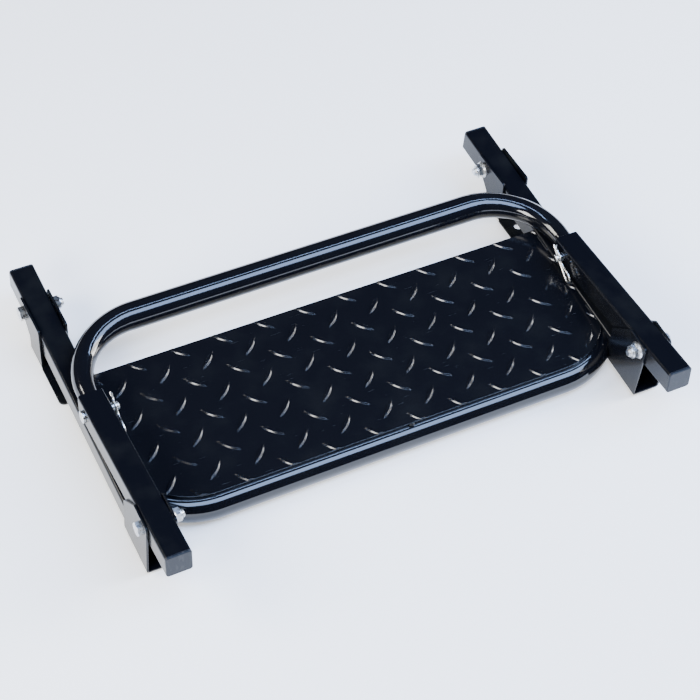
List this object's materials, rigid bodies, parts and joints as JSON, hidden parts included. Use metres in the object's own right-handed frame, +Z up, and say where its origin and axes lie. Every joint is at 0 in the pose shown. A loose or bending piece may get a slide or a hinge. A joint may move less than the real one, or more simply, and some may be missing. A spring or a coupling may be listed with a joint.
{
  "type": "folding tailgate step",
  "caption": "Folding step: tread plate on tube arms hinged in mounting brackets, with a pinned handle loop that folds back over it.",
  "frame": {"origin": "middle of the folded step's bounding box, on the mounting face that it lies on", "axes": "+X to the right across the step, +Y from the front rail back to the mounting brackets, +Z up off the mounting face"},
  "size_m": [0.5594, 0.4088, 0.0782],
  "materials": {
    "black_paint": "gloss",
    "black_plastic": "gloss",
    "zinc": "satin",
    "spring_wire": "polished"
  },
  "bodies": {
    "mounts": {"left_mount_bracket": "black_paint", "right_mount_bracket": "black_paint", "mount_pivot_bolts": "zinc", "mount_pivot_nuts": "zinc", "mount_pivot_sleeves": "zinc"},
    "lower_frame": {"left_lower_arm": "black_paint", "right_lower_arm": "black_paint", "left_tail_cap": "black_plastic", "right_tail_cap": "black_plastic", "left_knuckle_bracket": "black_paint", "right_knuckle_bracket": "black_paint", "front_rail": "black_paint", "tread_plate": "black_paint", "knuckle_pivot_bolts": "zinc", "knuckle_pivot_nuts": "zinc", "knuckle_pivot_sleeves": "zinc"},
    "upper_frame": {"left_upper_arm": "black_paint", "right_upper_arm": "black_paint", "left_end_cap": "black_plastic", "right_end_cap": "black_plastic", "handle_loop": "black_paint"},
    "left_pin": {"left_clevis_pin": "zinc", "left_hairpin_clip": "spring_wire"},
    "right_pin": {"right_clevis_pin": "zinc", "right_hairpin_clip": "spring_wire"}
  },
  "joints": [
    {"name": "lower_frame_fold", "type": "hinge", "parent": "mounts", "child": "lower_frame", "pos_m": [0, 0.15627, 0.039], "axis": [-1, 0, 0], "range_deg": [0, 93.72]},
    {"name": "upper_frame_fold", "type": "hinge", "parent": "lower_frame", "child": "upper_frame", "pos_m": [0, -0.15194, 0.06314], "axis": [1, 0, 0], "range_deg": [0, 96.42]},
    {"name": "left_pin_swivel", "type": "hinge", "parent": "upper_frame", "child": "left_pin", "pos_m": [-0.2593, -0.0061, 0.05627], "axis": [1, 0, 0], "range_deg": [-222, 3]},
    {"name": "right_pin_swivel", "type": "hinge", "parent": "upper_frame", "child": "right_pin", "pos_m": [0.2593, -0.0061, 0.05627], "axis": [1, 0, 0], "range_deg": [-222, 3]}
  ]
}
